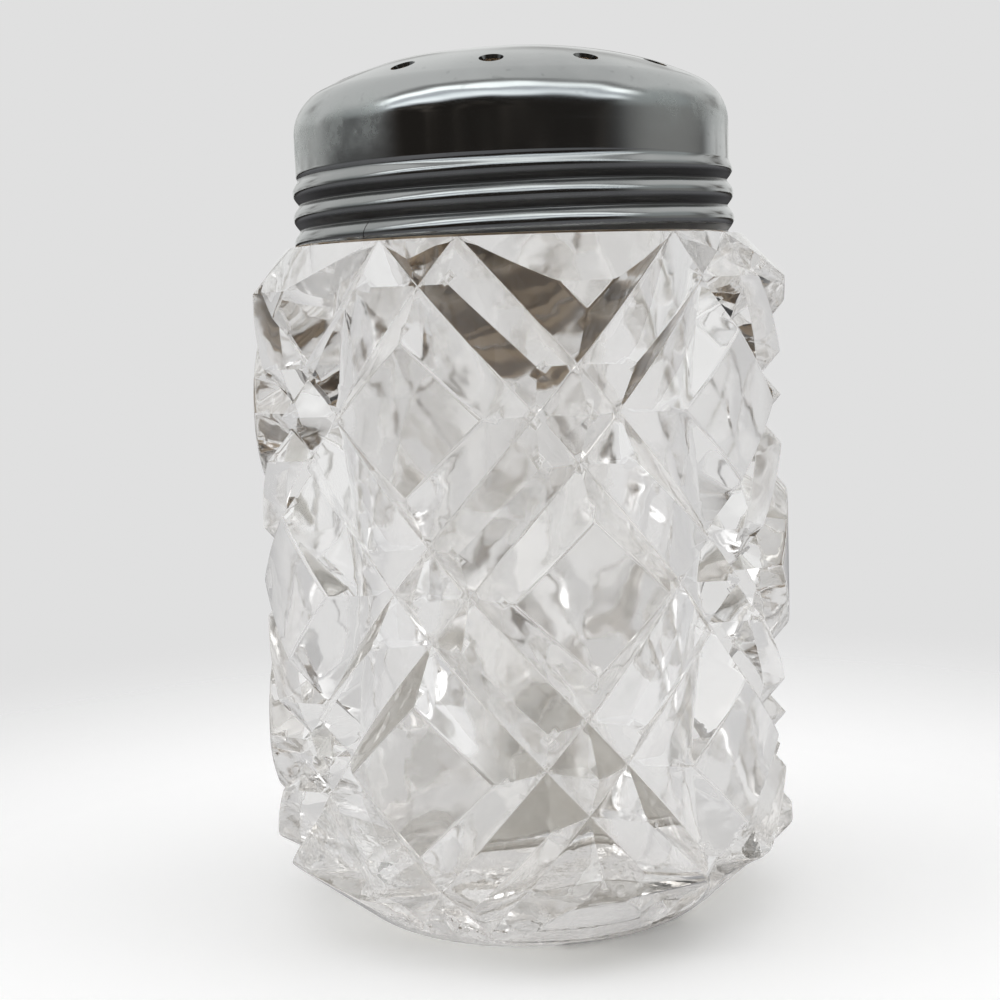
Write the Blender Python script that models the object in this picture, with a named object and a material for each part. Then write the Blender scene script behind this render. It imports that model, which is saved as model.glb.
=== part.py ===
"""Sugar shaker: a pressed glass jar with a diamond-cut wall, a pierced screw lid and a seal washer.

Sizes are in metres and angles in degrees. +Z is up, the jar stands on Z = 0 and its
photographed front faces -Y.
"""

import math

import bmesh
import bpy

# Clearances
SEAT_GAP = 0.0003
THREAD_PLAY = 0.0002
NECK_PLAY = 0.00035

# Jar body
BODY_RADIUS = 0.0341
SHOULDER_HEIGHT = 0.0854
SHOULDER_DROP = 0.0054
SHOULDER_LEDGE = 0.0015
FOOT_RADIUS = 0.0222
FOOT_WIDTH = 0.0050
FOOT_RECESS = 0.0008
BASE_RISE = 0.0095
GROOVE_END_HEIGHT = 0.0020

# Jar neck and hollow
NECK_WALL = 0.00365
NECK_ROOT_DEPTH = 0.0020
LIP_ROUND = 0.0012
FLARE_ANGLE = 30.0
HOLLOW_TAPER = 0.0012
FLOOR_THICKNESS = 0.0090
FLOOR_FILLET = 0.0035

# Diamond cutting
DIAMOND_REPEATS = 5
ROW_PITCH = 0.0207
ROW_HEIGHT = 0.0443
ROW_TURN = -22.7
NARROW_SHARE = 0.272
GROOVE_DEPTH = 0.0053
GROOVE_HALF_WIDTH = 0.0041

# Screw thread
THREAD_PITCH = 0.00315
THREAD_CREST_RISE = 0.00733
RIB_AMPLITUDE = 0.00045
NECK_THREAD_TURN = -575.0
NECK_THREAD_TURNS = 1.75
NECK_THREAD_WIDTH = 0.0022
NECK_THREAD_CREST = 0.0007
NECK_THREAD_RUNOUT = 28.0

# Lid
LID_RADIUS = 0.0275
LID_HEIGHT = 0.0237
LID_SHEET = 0.00045
CROWN_RADIUS = 0.0800
CROWN_SPREAD = 0.0120
HAUNCH_RADIUS = 0.0407
CORNER_RADIUS = 0.0057
RIBS_HEIGHT = 0.0097
RIBS_FADE = 0.0028
HOLE_RADIUS = 0.00145
HOLE_RING_SHARE = 0.78
HOLE_COUNT = 12
HOLE_TURN = -5.3

# Washer
WASHER_THICKNESS = 0.0015
WASHER_INSET = 0.0005

# Mesh steps
SEGMENTS = 60
LID_SEGMENTS = 56
HOLE_SEGMENTS = 16
ROWS_PER_PITCH = 6
NECK_ROWS_PER_PITCH = 8
ARC_STEPS = 5
LIP_STEPS = 3
SPARE_ROWS = 1.5
SHARP_ANGLE = 24.0

# Derived fits
GROOVE_RADIUS = BODY_RADIUS - GROOVE_DEPTH
BASE_FLARE = (BODY_RADIUS - FOOT_RADIUS) / BASE_RISE
SKIRT_HEIGHT = SHOULDER_HEIGHT + SEAT_GAP
SHOULDER_TOP_RADIUS = LID_RADIUS + SHOULDER_LEDGE
HOLE_RING_RADIUS = LID_RADIUS * HOLE_RING_SHARE
APEX_HEIGHT = SKIRT_HEIGHT + LID_HEIGHT
NECK_RADIUS = LID_RADIUS - RIB_AMPLITUDE - LID_SHEET - NECK_PLAY
MOUTH_RADIUS = NECK_RADIUS - NECK_WALL
FLOOR_RADIUS = MOUTH_RADIUS - HOLLOW_TAPER
NECK_CREST_RADIUS = LID_RADIUS - LID_SHEET - THREAD_PLAY
NECK_THREAD_START = math.radians(NECK_THREAD_TURN)
NECK_THREAD_LENGTH = 2.0 * math.pi * NECK_THREAD_TURNS
CROWN_CENTRE_HEIGHT = APEX_HEIGHT - CROWN_RADIUS
CROWN_EDGE = math.asin(CROWN_SPREAD / CROWN_RADIUS)
HAUNCH_CENTRE_RADIUS = (CROWN_RADIUS - HAUNCH_RADIUS) * math.sin(CROWN_EDGE)
HAUNCH_CENTRE_HEIGHT = CROWN_CENTRE_HEIGHT + (CROWN_RADIUS - HAUNCH_RADIUS) * math.cos(CROWN_EDGE)
CORNER_CENTRE_RADIUS = LID_RADIUS - CORNER_RADIUS
CORNER_REACH = HAUNCH_RADIUS - CORNER_RADIUS
HAUNCH_EDGE = math.asin((CORNER_CENTRE_RADIUS - HAUNCH_CENTRE_RADIUS) / CORNER_REACH)
CORNER_CENTRE_HEIGHT = HAUNCH_CENTRE_HEIGHT + CORNER_REACH * math.cos(HAUNCH_EDGE)
WASHER_RADIUS = NECK_RADIUS
WASHER_REACH = WASHER_RADIUS + SEAT_GAP - CORNER_CENTRE_RADIUS
WASHER_TOP = CORNER_CENTRE_HEIGHT + math.sqrt(
    (CORNER_RADIUS - LID_SHEET) ** 2 - WASHER_REACH**2
)
WASHER_BOTTOM = WASHER_TOP - WASHER_THICKNESS
LIP_HEIGHT = WASHER_BOTTOM - SEAT_GAP


def clear_scene():
    """Remove whatever the file opened with."""
    for obj in list(bpy.data.objects):
        bpy.data.objects.remove(obj, do_unlink=True)


def make_material(name, colour, roughness, metallic, transmission=0.0, ior=1.5):
    """Return a Principled BSDF material."""
    material = bpy.data.materials.new(name)
    material.use_nodes = True
    shader = material.node_tree.nodes["Principled BSDF"]
    shader.inputs["Base Color"].default_value = (*colour, 1.0)
    shader.inputs["Roughness"].default_value = roughness
    shader.inputs["Metallic"].default_value = metallic
    shader.inputs["Transmission Weight"].default_value = transmission
    shader.inputs["IOR"].default_value = ior
    material.diffuse_color = (*colour, 1.0)
    return material


def finish_object(name, mesh_data, origin_height=0.0):
    """Turn a bmesh into an object whose origin lies on the Z axis at the height given."""
    bmesh.ops.translate(mesh_data, verts=mesh_data.verts, vec=(0.0, 0.0, -origin_height))
    bmesh.ops.recalc_face_normals(mesh_data, faces=mesh_data.faces)
    mesh = bpy.data.meshes.new(name)
    mesh_data.to_mesh(mesh)
    mesh_data.free()
    obj = bpy.data.objects.new(name, mesh)
    obj.location.z = origin_height
    bpy.context.scene.collection.objects.link(obj)
    return obj


def make_helper(obj):
    """Keep a cutter or a joining piece out of the picture."""
    obj.hide_render = True
    obj.display_type = "WIRE"
    return obj


def add_boolean(obj, helper, operation):
    """Cut, join or intersect an object with a helper."""
    modifier = obj.modifiers.new(helper.name, "BOOLEAN")
    modifier.operation = operation
    modifier.solver = "EXACT"
    modifier.object = helper


def shade(obj):
    """Smooth the round faces and keep the crisp edges."""
    obj.data.shade_smooth()
    obj.data.set_sharp_from_angle(angle=math.radians(SHARP_ANGLE))


def arc(centre_radius, centre_height, radius, first, last, steps):
    """Return points (radius, height) along an arc, its angles measured from straight up."""
    points = []
    for step in range(steps + 1):
        angle = math.radians(first + (last - first) * step / steps)
        points.append((
            centre_radius + radius * math.sin(angle),
            centre_height + radius * math.cos(angle),
        ))
    return points


def revolve(profile, segments, ripple=None):
    """Turn a profile of (radius, height) points about Z, joining its ends if they are off the axis."""
    mesh_data = bmesh.new()
    rings = []
    for radius, height in profile:
        if radius <= 0.0:
            rings.append([mesh_data.verts.new((0.0, 0.0, height))] * segments)
            continue
        ring = []
        for step in range(segments):
            turn = 2.0 * math.pi * step / segments - math.pi
            reach = radius + (ripple(turn, height) if ripple else 0.0)
            ring.append(mesh_data.verts.new((reach * math.sin(turn), -reach * math.cos(turn), height)))
        rings.append(ring)
    if profile[0][0] > 0.0:
        rings.append(rings[0])
    for upper, lower in zip(rings, rings[1:]):
        for step in range(segments):
            after = (step + 1) % segments
            corners = [upper[step], upper[after], lower[after], lower[step]]
            mesh_data.faces.new(list(dict.fromkeys(corners)))
    return mesh_data


def body_profile():
    """Return the outline that trims the cut wall: recessed foot, clear of the wall, then the shoulder."""
    spare = GROOVE_DEPTH
    wall = BODY_RADIUS + spare
    shoulder_slope = SHOULDER_DROP / (BODY_RADIUS - SHOULDER_TOP_RADIUS)
    return [
        (0.0, FOOT_RECESS),
        (FOOT_RADIUS - FOOT_WIDTH, FOOT_RECESS),
        (FOOT_RADIUS - FOOT_WIDTH + FOOT_RECESS, 0.0),
        (wall, 0.0),
        (wall, SHOULDER_HEIGHT - SHOULDER_DROP - spare * shoulder_slope),
        (SHOULDER_TOP_RADIUS, SHOULDER_HEIGHT),
        (0.0, SHOULDER_HEIGHT),
    ]


def crest_height(turn):
    """Return the height of the thread's crest at a turn from the front, counted in radians."""
    return SKIRT_HEIGHT + THREAD_CREST_RISE + THREAD_PITCH * turn / (2.0 * math.pi)


def neck_ridge(turn, height):
    """Return how far the glass thread stands out of the neck, sinking into it at both ends."""
    lap = 2.0 * math.pi
    flank = (NECK_THREAD_WIDTH - NECK_THREAD_CREST) / 2.0
    runout = math.radians(NECK_THREAD_RUNOUT)
    run = (turn - NECK_THREAD_START) % lap
    share = 0.0
    while run < NECK_THREAD_LENGTH:
        away = abs(height - crest_height(NECK_THREAD_START + run))
        fade = min(1.0, run / runout, (NECK_THREAD_LENGTH - run) / runout)
        share = max(share, fade * min(1.0, (NECK_THREAD_WIDTH / 2.0 - away) / flank))
        run += lap
    return share * (NECK_CREST_RADIUS - NECK_RADIUS)


def build_neck():
    """Build the threaded neck with its rounded lip, rooted a little way into the body."""
    root = SHOULDER_HEIGHT - NECK_ROOT_DEPTH
    lowest = crest_height(NECK_THREAD_START) - NECK_THREAD_WIDTH / 2.0
    highest = crest_height(NECK_THREAD_START + NECK_THREAD_LENGTH) + NECK_THREAD_WIDTH / 2.0
    rows = math.ceil((highest - lowest) / THREAD_PITCH * NECK_ROWS_PER_PITCH)
    profile = [(0.0, root), (NECK_RADIUS, root)]
    for row in range(rows + 1):
        profile.append((NECK_RADIUS, lowest + (highest - lowest) * row / rows))
    profile += arc(NECK_RADIUS - LIP_ROUND, LIP_HEIGHT - LIP_ROUND, LIP_ROUND, 90.0, 0.0, LIP_STEPS)
    profile.append((0.0, LIP_HEIGHT))
    mesh_data = revolve(profile, SEGMENTS, neck_ridge)
    bmesh.ops.triangulate(mesh_data, faces=mesh_data.faces)
    return make_helper(finish_object("neck", mesh_data))


def build_hollow():
    """Build the tapered hollow, with a rounded floor and a mouth that flares out through the lip."""
    bottom = FLOOR_THICKNESS + FLOOR_FILLET
    flare = arc(
        MOUTH_RADIUS + LIP_ROUND, LIP_HEIGHT - LIP_ROUND, LIP_ROUND, -FLARE_ANGLE, -90.0, LIP_STEPS
    )
    edge_radius = flare[0][0] + LIP_ROUND
    edge_height = flare[0][1] + LIP_ROUND * math.tan(math.radians(FLARE_ANGLE))
    profile = [(0.0, edge_height), (edge_radius, edge_height)]
    profile += flare
    profile += arc(FLOOR_RADIUS - FLOOR_FILLET, bottom, FLOOR_FILLET, 90.0, 180.0, ARC_STEPS)
    profile.append((0.0, FLOOR_THICKNESS))
    return make_helper(finish_object("hollow", revolve(profile, SEGMENTS)))


def groove_lines(rise):
    """Return the heights, over one period, of the lines where the cut wall changes slope."""
    half_narrow = NARROW_SHARE * ROW_PITCH
    marks = [0.0, ROW_PITCH]
    for offset in (0.0, half_narrow, rise):
        marks.append(half_narrow + offset)
        marks.append(2.0 * ROW_PITCH - half_narrow - offset)
    return sorted(marks)


def groove_distance(offset):
    """Return how far above or below the nearest groove a line lies."""
    half_narrow = NARROW_SHARE * ROW_PITCH
    wrapped = (offset + ROW_PITCH) % (2.0 * ROW_PITCH) - ROW_PITCH
    return abs(abs(wrapped) - half_narrow)


def build_diamond_wall():
    """Build the solid that two families of crossing helical V-grooves leave of a round bar."""
    climb = ROW_PITCH * DIAMOND_REPEATS / math.pi
    rise = GROOVE_HALF_WIDTH * math.hypot(1.0, climb / GROOVE_RADIUS)
    marks = groove_lines(rise)
    count = len(marks)
    around = DIAMOND_REPEATS * count
    phase = climb * math.radians(ROW_TURN)
    lowest = -SPARE_ROWS * ROW_PITCH
    highest = SHOULDER_HEIGHT + SPARE_ROWS * ROW_PITCH
    mesh_data = bmesh.new()
    corners = {}

    def level(index):
        return 2.0 * ROW_PITCH * (index // count) + marks[index % count]

    def corner(across, along):
        wraps = across // around
        key = (across - wraps * around, along + wraps * around)
        if key not in corners:
            up, down = level(key[0]), level(key[1])
            depth = min(groove_distance(up), groove_distance(down)) / rise
            reach = GROOVE_RADIUS + GROOVE_DEPTH * min(1.0, depth)
            turn = (up + phase - (down - phase)) / (2.0 * climb)
            height = ROW_HEIGHT + (up + down) / 2.0
            place = (reach * math.sin(turn), -reach * math.cos(turn), height)
            corners[key] = (mesh_data.verts.new(place), depth)
        return corners[key]

    span = math.ceil((highest - lowest) / ROW_PITCH) * count + around
    for across in range(around):
        for along in range(-span, span):
            middle = ROW_HEIGHT + (
                level(across) + level(across + 1) + level(along) + level(along + 1)
            ) / 4.0
            if lowest < middle < highest:
                square = [
                    corner(across, along),
                    corner(across + 1, along),
                    corner(across + 1, along + 1),
                    corner(across, along + 1),
                ]
                add_creased_square(mesh_data, square)
    draw_in_base(mesh_data)
    cap_ends(mesh_data)
    return make_helper(finish_object("diamond_wall", mesh_data))


def draw_in_base(mesh_data):
    """Draw the wall's lower end in to the foot, with its grooves running out on the flared base."""
    for height in (-GROOVE_END_HEIGHT, GROOVE_END_HEIGHT, BASE_RISE):
        bmesh.ops.bisect_plane(
            mesh_data,
            geom=mesh_data.verts[:] + mesh_data.edges[:] + mesh_data.faces[:],
            plane_co=(0.0, 0.0, height),
            plane_no=(0.0, 0.0, 1.0),
            clear_inner=height < 0.0,
        )
    for vert in mesh_data.verts:
        if vert.co.z < BASE_RISE:
            reach = math.hypot(vert.co.x, vert.co.y)
            left = max(0.0, (vert.co.z - GROOVE_END_HEIGHT) / (BASE_RISE - GROOVE_END_HEIGHT))
            flared = BODY_RADIUS - BASE_FLARE * (BASE_RISE - vert.co.z)
            share = (flared - (BODY_RADIUS - reach) * left) / reach
            vert.co.x *= share
            vert.co.y *= share
    bmesh.ops.triangulate(mesh_data, faces=mesh_data.faces)


def add_creased_square(mesh_data, square):
    """Split a square along the diagonal through its highest corner, where its crease lies."""
    depths = [min(1.0, depth) for _, depth in square]
    verts = [vert for vert, _ in square]
    first = 0 if max(depths[0], depths[2]) >= max(depths[1], depths[3]) else 1
    verts = verts[first:] + verts[:first]
    mesh_data.faces.new((verts[0], verts[1], verts[2]))
    mesh_data.faces.new((verts[0], verts[2], verts[3]))


def cap_ends(mesh_data):
    """Close the open top and bottom of a tube with a fan to the axis."""
    rims = {True: [], False: []}
    for edge in mesh_data.edges:
        if edge.is_boundary:
            rims[edge.verts[0].co.z > ROW_HEIGHT].append(edge)
    for rim in rims.values():
        height = sum(edge.verts[0].co.z for edge in rim) / len(rim)
        centre = mesh_data.verts.new((0.0, 0.0, height))
        for edge in rim:
            mesh_data.faces.new((edge.verts[0], edge.verts[1], centre))


def build_jar():
    """Build the jar: a turned body cut back to the diamond wall, its threaded neck and its hollow."""
    jar = finish_object("glass_jar", revolve(body_profile(), SEGMENTS))
    add_boolean(jar, build_diamond_wall(), "INTERSECT")
    add_boolean(jar, build_neck(), "UNION")
    add_boolean(jar, build_hollow(), "DIFFERENCE")
    jar.data.materials.append(make_material("clear_glass", (0.96, 0.96, 0.95), 0.02, 0.0, 1.0, 1.52))
    shade(jar)
    return jar


def rib_offset(turn, height):
    """Return how far the rolled ribs push the lid's wall out or in."""
    fade = max(0.0, min(1.0, (SKIRT_HEIGHT + RIBS_HEIGHT - height) / RIBS_FADE))
    wave = math.cos(2.0 * math.pi * (height - crest_height(turn)) / THREAD_PITCH)
    return RIB_AMPLITUDE * wave * fade


def lid_skin(inset):
    """Return the lid's outline from apex to skirt, moved inwards by the inset."""
    bends = [
        (0.0, CROWN_CENTRE_HEIGHT, CROWN_RADIUS, 0.0),
        (HAUNCH_CENTRE_RADIUS, HAUNCH_CENTRE_HEIGHT, HAUNCH_RADIUS, math.degrees(CROWN_EDGE)),
        (CORNER_CENTRE_RADIUS, CORNER_CENTRE_HEIGHT, CORNER_RADIUS, math.degrees(HAUNCH_EDGE)),
    ]
    ends = [bend[3] for bend in bends[1:]] + [90.0]
    skin = [(0.0, APEX_HEIGHT - inset)]
    for (radius, height, bend_radius, start), end in zip(bends, ends):
        skin += arc(radius, height, bend_radius - inset, start, end, ARC_STEPS)[1:]
    rows = math.ceil(RIBS_HEIGHT / THREAD_PITCH * ROWS_PER_PITCH)
    for row in range(rows + 1):
        height = SKIRT_HEIGHT + RIBS_HEIGHT * (1.0 - row / rows)
        skin.append((LID_RADIUS - inset, height))
    return skin


def build_hole_punches():
    """Build the upright punches for the shaker holes: a ring, a ring half as wide and one in the middle."""
    mesh_data = bmesh.new()
    places = [(0.0, 0.0)]
    for ring in (1, 2):
        count = HOLE_COUNT * ring // 2
        reach = HOLE_RING_RADIUS * ring / 2.0
        for hole in range(count):
            turn = math.radians(HOLE_TURN) + 2.0 * math.pi * hole / count
            places.append((reach * math.sin(turn), -reach * math.cos(turn)))
    for x, y in places:
        made = bmesh.ops.create_cone(
            mesh_data,
            cap_ends=True,
            segments=HOLE_SEGMENTS,
            radius1=HOLE_RADIUS,
            radius2=HOLE_RADIUS,
            depth=LID_HEIGHT,
        )
        bmesh.ops.translate(mesh_data, verts=made["verts"], vec=(x, y, APEX_HEIGHT))
    return make_helper(finish_object("hole_punches", mesh_data))


def build_lid():
    """Build the one-piece lid: pierced crown, rounded corner, and ribs rolled into the skirt."""
    outline = lid_skin(0.0) + lid_skin(LID_SHEET)[::-1]
    lid = finish_object("screw_lid", revolve(outline, LID_SEGMENTS, rib_offset), SKIRT_HEIGHT)
    add_boolean(lid, build_hole_punches(), "DIFFERENCE")
    lid.data.materials.append(make_material("tarnished_plate", (0.42, 0.42, 0.43), 0.16, 1.0))
    shade(lid)
    return lid


def build_washer():
    """Build the flat ring that sits on the jar's lip, under the lid's rounded corner."""
    inner = MOUTH_RADIUS + WASHER_INSET
    section = [
        (inner, WASHER_TOP),
        (WASHER_RADIUS, WASHER_TOP),
        (WASHER_RADIUS, WASHER_BOTTOM),
        (inner, WASHER_BOTTOM),
    ]
    washer = finish_object("seal_washer", revolve(section, SEGMENTS), WASHER_BOTTOM)
    washer.data.materials.append(make_material("waxed_card", (0.62, 0.52, 0.38), 0.8, 0.0))
    shade(washer)
    return washer


def main():
    """Build the three pieces of the shaker."""
    clear_scene()
    build_jar()
    build_washer()
    build_lid()


main()
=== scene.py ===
"""Sugar shaker on a white floor: a diamond-cut pressed glass jar, a pierced screw lid and its card washer.

Lengths are in metres, in the frame of the solids: +Z is up, the jar stands on Z = 0 and its front faces -Y.
A turn is an angle about Z in degrees, counted from the front towards +X.
"""

import logging
import math
from collections.abc import Callable, Mapping, Sequence
from dataclasses import dataclass, field
from enum import Enum

import bmesh
import bpy
from mathutils import Matrix, Vector


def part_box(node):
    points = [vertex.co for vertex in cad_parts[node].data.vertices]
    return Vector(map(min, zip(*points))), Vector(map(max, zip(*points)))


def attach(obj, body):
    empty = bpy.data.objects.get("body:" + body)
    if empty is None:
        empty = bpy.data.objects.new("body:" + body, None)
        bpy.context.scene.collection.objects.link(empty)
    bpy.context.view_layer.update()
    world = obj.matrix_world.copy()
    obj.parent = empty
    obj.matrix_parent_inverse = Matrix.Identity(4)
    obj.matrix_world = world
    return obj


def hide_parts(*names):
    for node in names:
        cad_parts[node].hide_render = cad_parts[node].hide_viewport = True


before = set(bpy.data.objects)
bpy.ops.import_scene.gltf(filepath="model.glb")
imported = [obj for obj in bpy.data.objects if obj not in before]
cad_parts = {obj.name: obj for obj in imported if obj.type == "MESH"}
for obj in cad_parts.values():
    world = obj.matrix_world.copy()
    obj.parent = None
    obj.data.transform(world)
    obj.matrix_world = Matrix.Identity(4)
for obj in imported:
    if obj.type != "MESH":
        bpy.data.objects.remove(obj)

LOG = logging.getLogger("sugar_shaker")

Socket = bpy.types.NodeSocket
Value = Socket | float | Sequence[float] | bpy.types.Material
Colour = tuple[float, float, float, float]
Span = tuple[float, float]
Point = tuple[float, float]
Outline = list[Point]
Ripple = Callable[[float, float], float]


class Body(str, Enum):
    """The rigid bodies that pieces ride on."""

    JAR = "jar"
    WASHER = "washer"
    LID = "lid"


class Slot(str, Enum):
    """The names of the material slots."""

    GLASS = "clear_glass"
    PLATE = "tarnished_plate"
    CARD = "waxed_card"


class Join(str, Enum):
    """How one solid is worked with another."""

    KEEP_COMMON = "INTERSECT"
    ADD = "UNION"
    CUT = "DIFFERENCE"


class Graph:
    """A node tree being wired, with short ways to add its nodes."""

    def __init__(self, tree: bpy.types.NodeTree) -> None:
        """Start from a tree, whatever it holds."""
        self.tree = tree

    def feed(self, socket: Socket, value: Value) -> None:
        """Wire a socket into an input, or set the input to a plain value.

        Args:
            socket: the input.
            value: another node's socket, or the value.
        """
        if isinstance(value, bpy.types.NodeSocket):
            self.tree.links.new(value, socket)
        else:
            socket.default_value = value

    def add(
        self, kind: str, inputs: Mapping[str | int, Value] | None = None, **settings: object
    ) -> bpy.types.Node:
        """Add a node.

        Args:
            kind: the node's type, by its full name.
            inputs: sockets or plain values for its inputs, by name or number.
            **settings: the node's own options.

        Returns:
            The new node.
        """
        node = self.tree.nodes.new(kind)
        for name, value in settings.items():
            setattr(node, name, value)
        for name, value in (inputs or {}).items():
            self.feed(node.inputs[name], value)
        return node

    def math(self, operation: str, *values: Value) -> Socket:
        """Add a Math node and return its result."""
        return self.add("ShaderNodeMath", dict(enumerate(values)), operation=operation).outputs[0]

    def product(self, first: Value, *others: Value) -> Value:
        """Multiply values.

        Args:
            first: the value to start from.
            *others: what it is multiplied by, one after another.

        Returns:
            The product.
        """
        for other in others:
            first = self.math("MULTIPLY", first, other)
        return first

    def partly(self, mask: Value, share: float) -> Socket:
        """Return a mask that takes away only a share of what it covers."""
        return self.math("MULTIPLY_ADD", mask, share, 1.0 - share)

    def clamped(self, value: Value) -> Socket:
        """Return a value held between 0 and 1."""
        return self.math("MINIMUM", self.math("MAXIMUM", value, 0.0), 1.0)

    def distance(self, x: Value, y: Value) -> Socket:
        """Return the length of a line that runs x across and y along."""
        return self.math("SQRT", self.math("ADD", self.math("POWER", x, 2.0), self.math("POWER", y, 2.0)))

    def split(self, vector: Value) -> tuple[Socket, ...]:
        """Return the X, Y and Z of a vector."""
        return tuple(self.add("ShaderNodeSeparateXYZ", {0: vector}).outputs)

    def vector(self, x: Value, y: Value, z: Value) -> Socket:
        """Return a vector made of three values."""
        return self.add("ShaderNodeCombineXYZ", {0: x, 1: y, 2: z}).outputs[0]

    def noise(self, place: Value, seed: Value, scale: Value, detail: Value) -> Socket:
        """Add seeded noise.

        Args:
            place: where it is read.
            seed: which noise it is.
            scale: how many waves it has to a metre.
            detail: how many finer waves are added.

        Returns:
            The noise, mostly between 0.3 and 0.7.
        """
        inputs = {"Vector": place, "W": seed, "Scale": scale, "Detail": detail}
        return self.add("ShaderNodeTexNoise", inputs, noise_dimensions="4D").outputs[0]

    def ramp(
        self, value: Value, low: Value, high: Value, first: float = 0.0, last: float = 1.0
    ) -> Socket:
        """Map a value smoothly, so that low gives first and high gives last.

        Args:
            value: what is mapped.
            low: the value at the ramp's start.
            high: the value at the ramp's end.
            first: the result at and before the start.
            last: the result at and past the end.

        Returns:
            The mapped value.
        """
        inputs = {"Value": value, "From Min": low, "From Max": high, "To Min": first, "To Max": last}
        return self.add("ShaderNodeMapRange", inputs, interpolation_type="SMOOTHSTEP").outputs["Result"]

    def blend(self, share: Value, first: Value, second: Value) -> Socket:
        """Mix two colours by a share and return the result."""
        node = self.add("ShaderNodeMix", {0: share, 6: first, 7: second}, data_type="RGBA")
        return node.outputs[2]


class GeometryTree(Graph):
    """A geometry tree with named sizes, which ends in realised instances and a material."""

    def __init__(self, name: str, sizes: Sequence[str]) -> None:
        """Make the tree's inputs and outputs.

        Args:
            name: the tree's name.
            sizes: the names of its number inputs.
        """
        super().__init__(bpy.data.node_groups.new(name, "GeometryNodeTree"))
        interface = self.tree.interface
        interface.new_socket("Geometry", in_out="INPUT", socket_type="NodeSocketGeometry")
        for size in sizes:
            interface.new_socket(size, in_out="INPUT", socket_type="NodeSocketFloat")
        interface.new_socket("Material", in_out="INPUT", socket_type="NodeSocketMaterial")
        interface.new_socket("Geometry", in_out="OUTPUT", socket_type="NodeSocketGeometry")
        self.given = self.add("NodeGroupInput").outputs

    def place(self) -> Socket:
        """Return where each point is."""
        return self.add("GeometryNodeInputPosition").outputs[0]

    def scaled(self, vector: Value, size: Value) -> Socket:
        """Return a vector made longer or shorter."""
        return self.add("ShaderNodeVectorMath", {0: vector, "Scale": size}, operation="SCALE").outputs[0]

    def moved(self, offset: Value) -> Socket:
        """Return the given geometry with its points moved."""
        inputs = {"Geometry": self.given["Geometry"], "Offset": offset}
        return self.add("GeometryNodeSetPosition", inputs).outputs[0]

    def end(self, geometry: Socket) -> bpy.types.NodeTree:
        """Finish the tree with what it puts out.

        Args:
            geometry: what the tree has made.

        Returns:
            The finished tree.
        """
        realised = self.add("GeometryNodeRealizeInstances", {"Geometry": geometry}).outputs[0]
        inputs = {"Geometry": realised, "Material": self.given["Material"]}
        dressed = self.add("GeometryNodeSetMaterial", inputs).outputs[0]
        self.add("NodeGroupOutput", {"Geometry": dressed})
        return self.tree


def settle(obj: bpy.types.Object) -> None:
    """Turn what an object's modifiers make into its own plain mesh.

    Args:
        obj: the object, which loses its modifiers.
    """
    graph = bpy.context.evaluated_depsgraph_get()
    mesh = bpy.data.meshes.new_from_object(obj.evaluated_get(graph), depsgraph=graph)
    obj.modifiers.clear()
    obj.data = mesh


def shape_by(
    obj: bpy.types.Object,
    tree: bpy.types.NodeTree,
    sizes: Mapping[str, float],
    material: bpy.types.Material,
) -> None:
    """Shape an object by a geometry tree and keep the result as a plain mesh.

    Args:
        obj: the object to shape.
        tree: the geometry tree.
        sizes: values for the tree's number inputs, by name.
        material: the finish of the result.
    """
    modifier = obj.modifiers.new(tree.name, "NODES")
    modifier.node_group = tree
    wanted = {**sizes, "Material": material}
    for item in tree.interface.items_tree:
        if item.in_out == "INPUT" and item.name in wanted:
            modifier[item.identifier] = wanted[item.name]
    settle(obj)


def new_object(name: str, mesh_data: bmesh.types.BMesh) -> bpy.types.Object:
    """Make an object of a bmesh, whose faces are turned outwards first.

    Args:
        name: the object's name.
        mesh_data: its shape, which is used up.

    Returns:
        The object, in the scene.
    """
    bmesh.ops.recalc_face_normals(mesh_data, faces=mesh_data.faces)
    mesh = bpy.data.meshes.new(name)
    mesh_data.to_mesh(mesh)
    mesh_data.free()
    obj = bpy.data.objects.new(name, mesh)
    bpy.context.scene.collection.objects.link(obj)
    return obj


def work(obj: bpy.types.Object, other: bpy.types.Object, join: Join) -> None:
    """Cut, join or intersect an object with another.

    Args:
        obj: the object that is worked.
        other: what it is worked with, which is used up.
        join: how it is worked.
    """
    modifier = obj.modifiers.new(other.name, "BOOLEAN")
    modifier.operation = join.value
    modifier.solver = "MANIFOLD"
    modifier.object = other
    settle(obj)
    bpy.data.objects.remove(other, do_unlink=True)


def arc(centre: Point, radius: float, first: float, last: float, steps: int) -> Outline:
    """Return points (radius, height) along an arc.

    Args:
        centre: the arc's own centre (radius, height).
        radius: the arc's radius.
        first: the angle of its first point, in degrees from straight up.
        last: the angle of its last point.
        steps: how many straight steps it has.

    Returns:
        The points, first to last.
    """
    points = []
    for step in range(steps + 1):
        angle = math.radians(first + (last - first) * step / steps)
        points.append((centre[0] + radius * math.sin(angle), centre[1] + radius * math.cos(angle)))
    return points


def rows_between(first: Point, last: Point, steps: int) -> Outline:
    """Return the points that split a straight line into equal steps.

    Args:
        first: the line's first point, which is left out.
        last: its last point.
        steps: how many steps it has.

    Returns:
        The points after the first.
    """
    points = []
    for step in range(1, steps + 1):
        share = step / steps
        points.append((first[0] + (last[0] - first[0]) * share, first[1] + (last[1] - first[1]) * share))
    return points


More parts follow.
